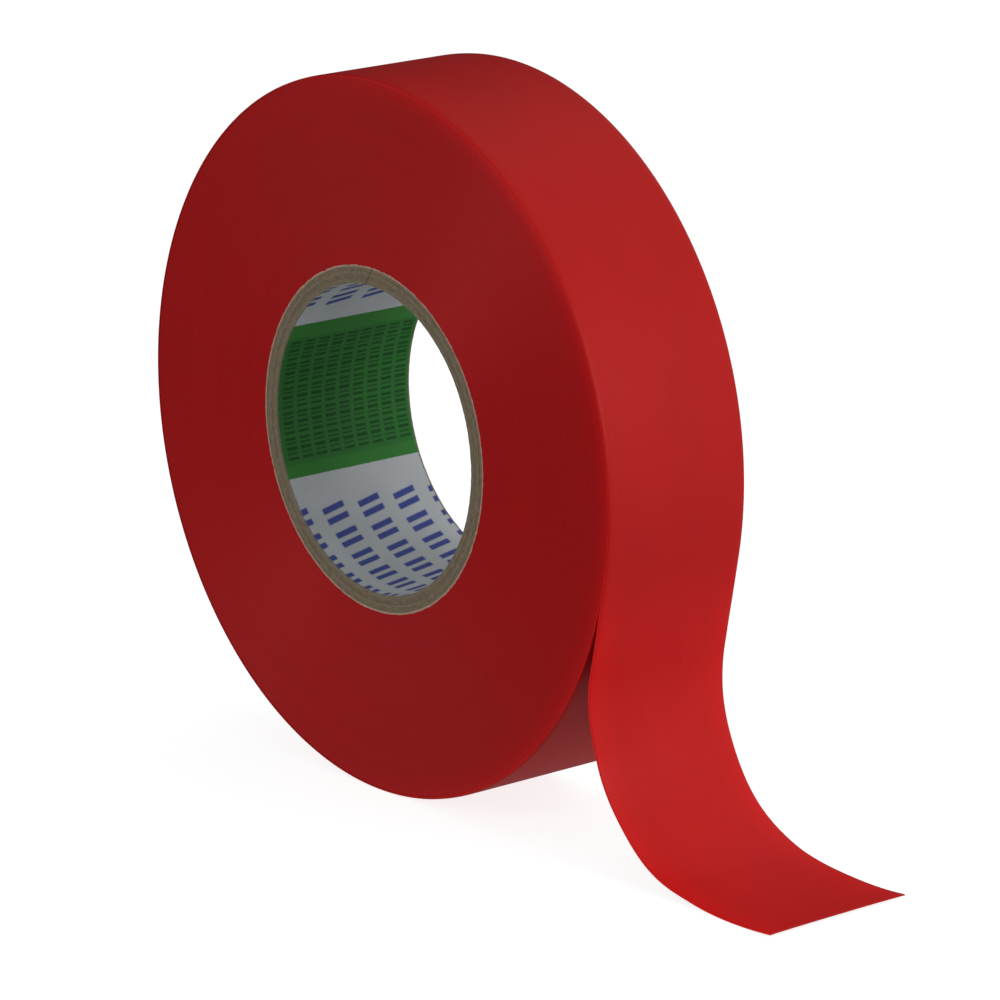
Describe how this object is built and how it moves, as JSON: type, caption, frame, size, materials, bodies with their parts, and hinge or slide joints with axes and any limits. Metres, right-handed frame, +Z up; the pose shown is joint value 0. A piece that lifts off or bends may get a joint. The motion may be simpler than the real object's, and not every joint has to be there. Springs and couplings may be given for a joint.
{
  "type": "electrical tape roll",
  "caption": "Roll of red PVC electrical tape on a paper core, standing on its rim, with a free end hanging down to the table.",
  "frame": {"origin": "middle of the core's bore, half way along it", "axes": "+Y along the bore, away from the side on which the free end hangs to the right; +X towards the free end; +Z up, with the roll standing on its rim"},
  "size_m": [0.1066, 0.019, 0.0814],
  "materials": {
    "tape_film": "satin",
    "tape_adhesive": "satin",
    "core_board": "matte",
    "cover_paper": "matte",
    "liner_paper": "satin"
  },
  "bodies": {
    "roll": {"core_liner": "liner_paper", "core_board_1": "core_board", "core_board_2": "core_board", "core_board_3": "core_board", "core_board_4": "core_board", "core_cover": "cover_paper", "buried_turns": "tape_film", "outer_turn_film": "tape_film", "outer_turn_adhesive": "tape_adhesive"},
    "tail_root": {"tail_root_film": "tape_film", "tail_root_adhesive": "tape_adhesive"},
    "tail_end": {"tail_end_film": "tape_film", "tail_end_adhesive": "tape_adhesive"}
  },
  "joints": [
    {"name": "peel_bend", "type": "hinge", "parent": "roll", "child": "tail_root", "pos_m": [0.03903, 0, -0.01158], "axis": [0, -1, 0], "range_deg": [0, 85]},
    {"name": "sweep_bend", "type": "hinge", "parent": "tail_root", "child": "tail_end", "pos_m": [0.03982, 0, -0.03248], "axis": [0, -1, 0], "range_deg": [-45, 45], "stiffness_Nm_per_rad": 0.00006, "springref_deg": 16.04}
  ]
}
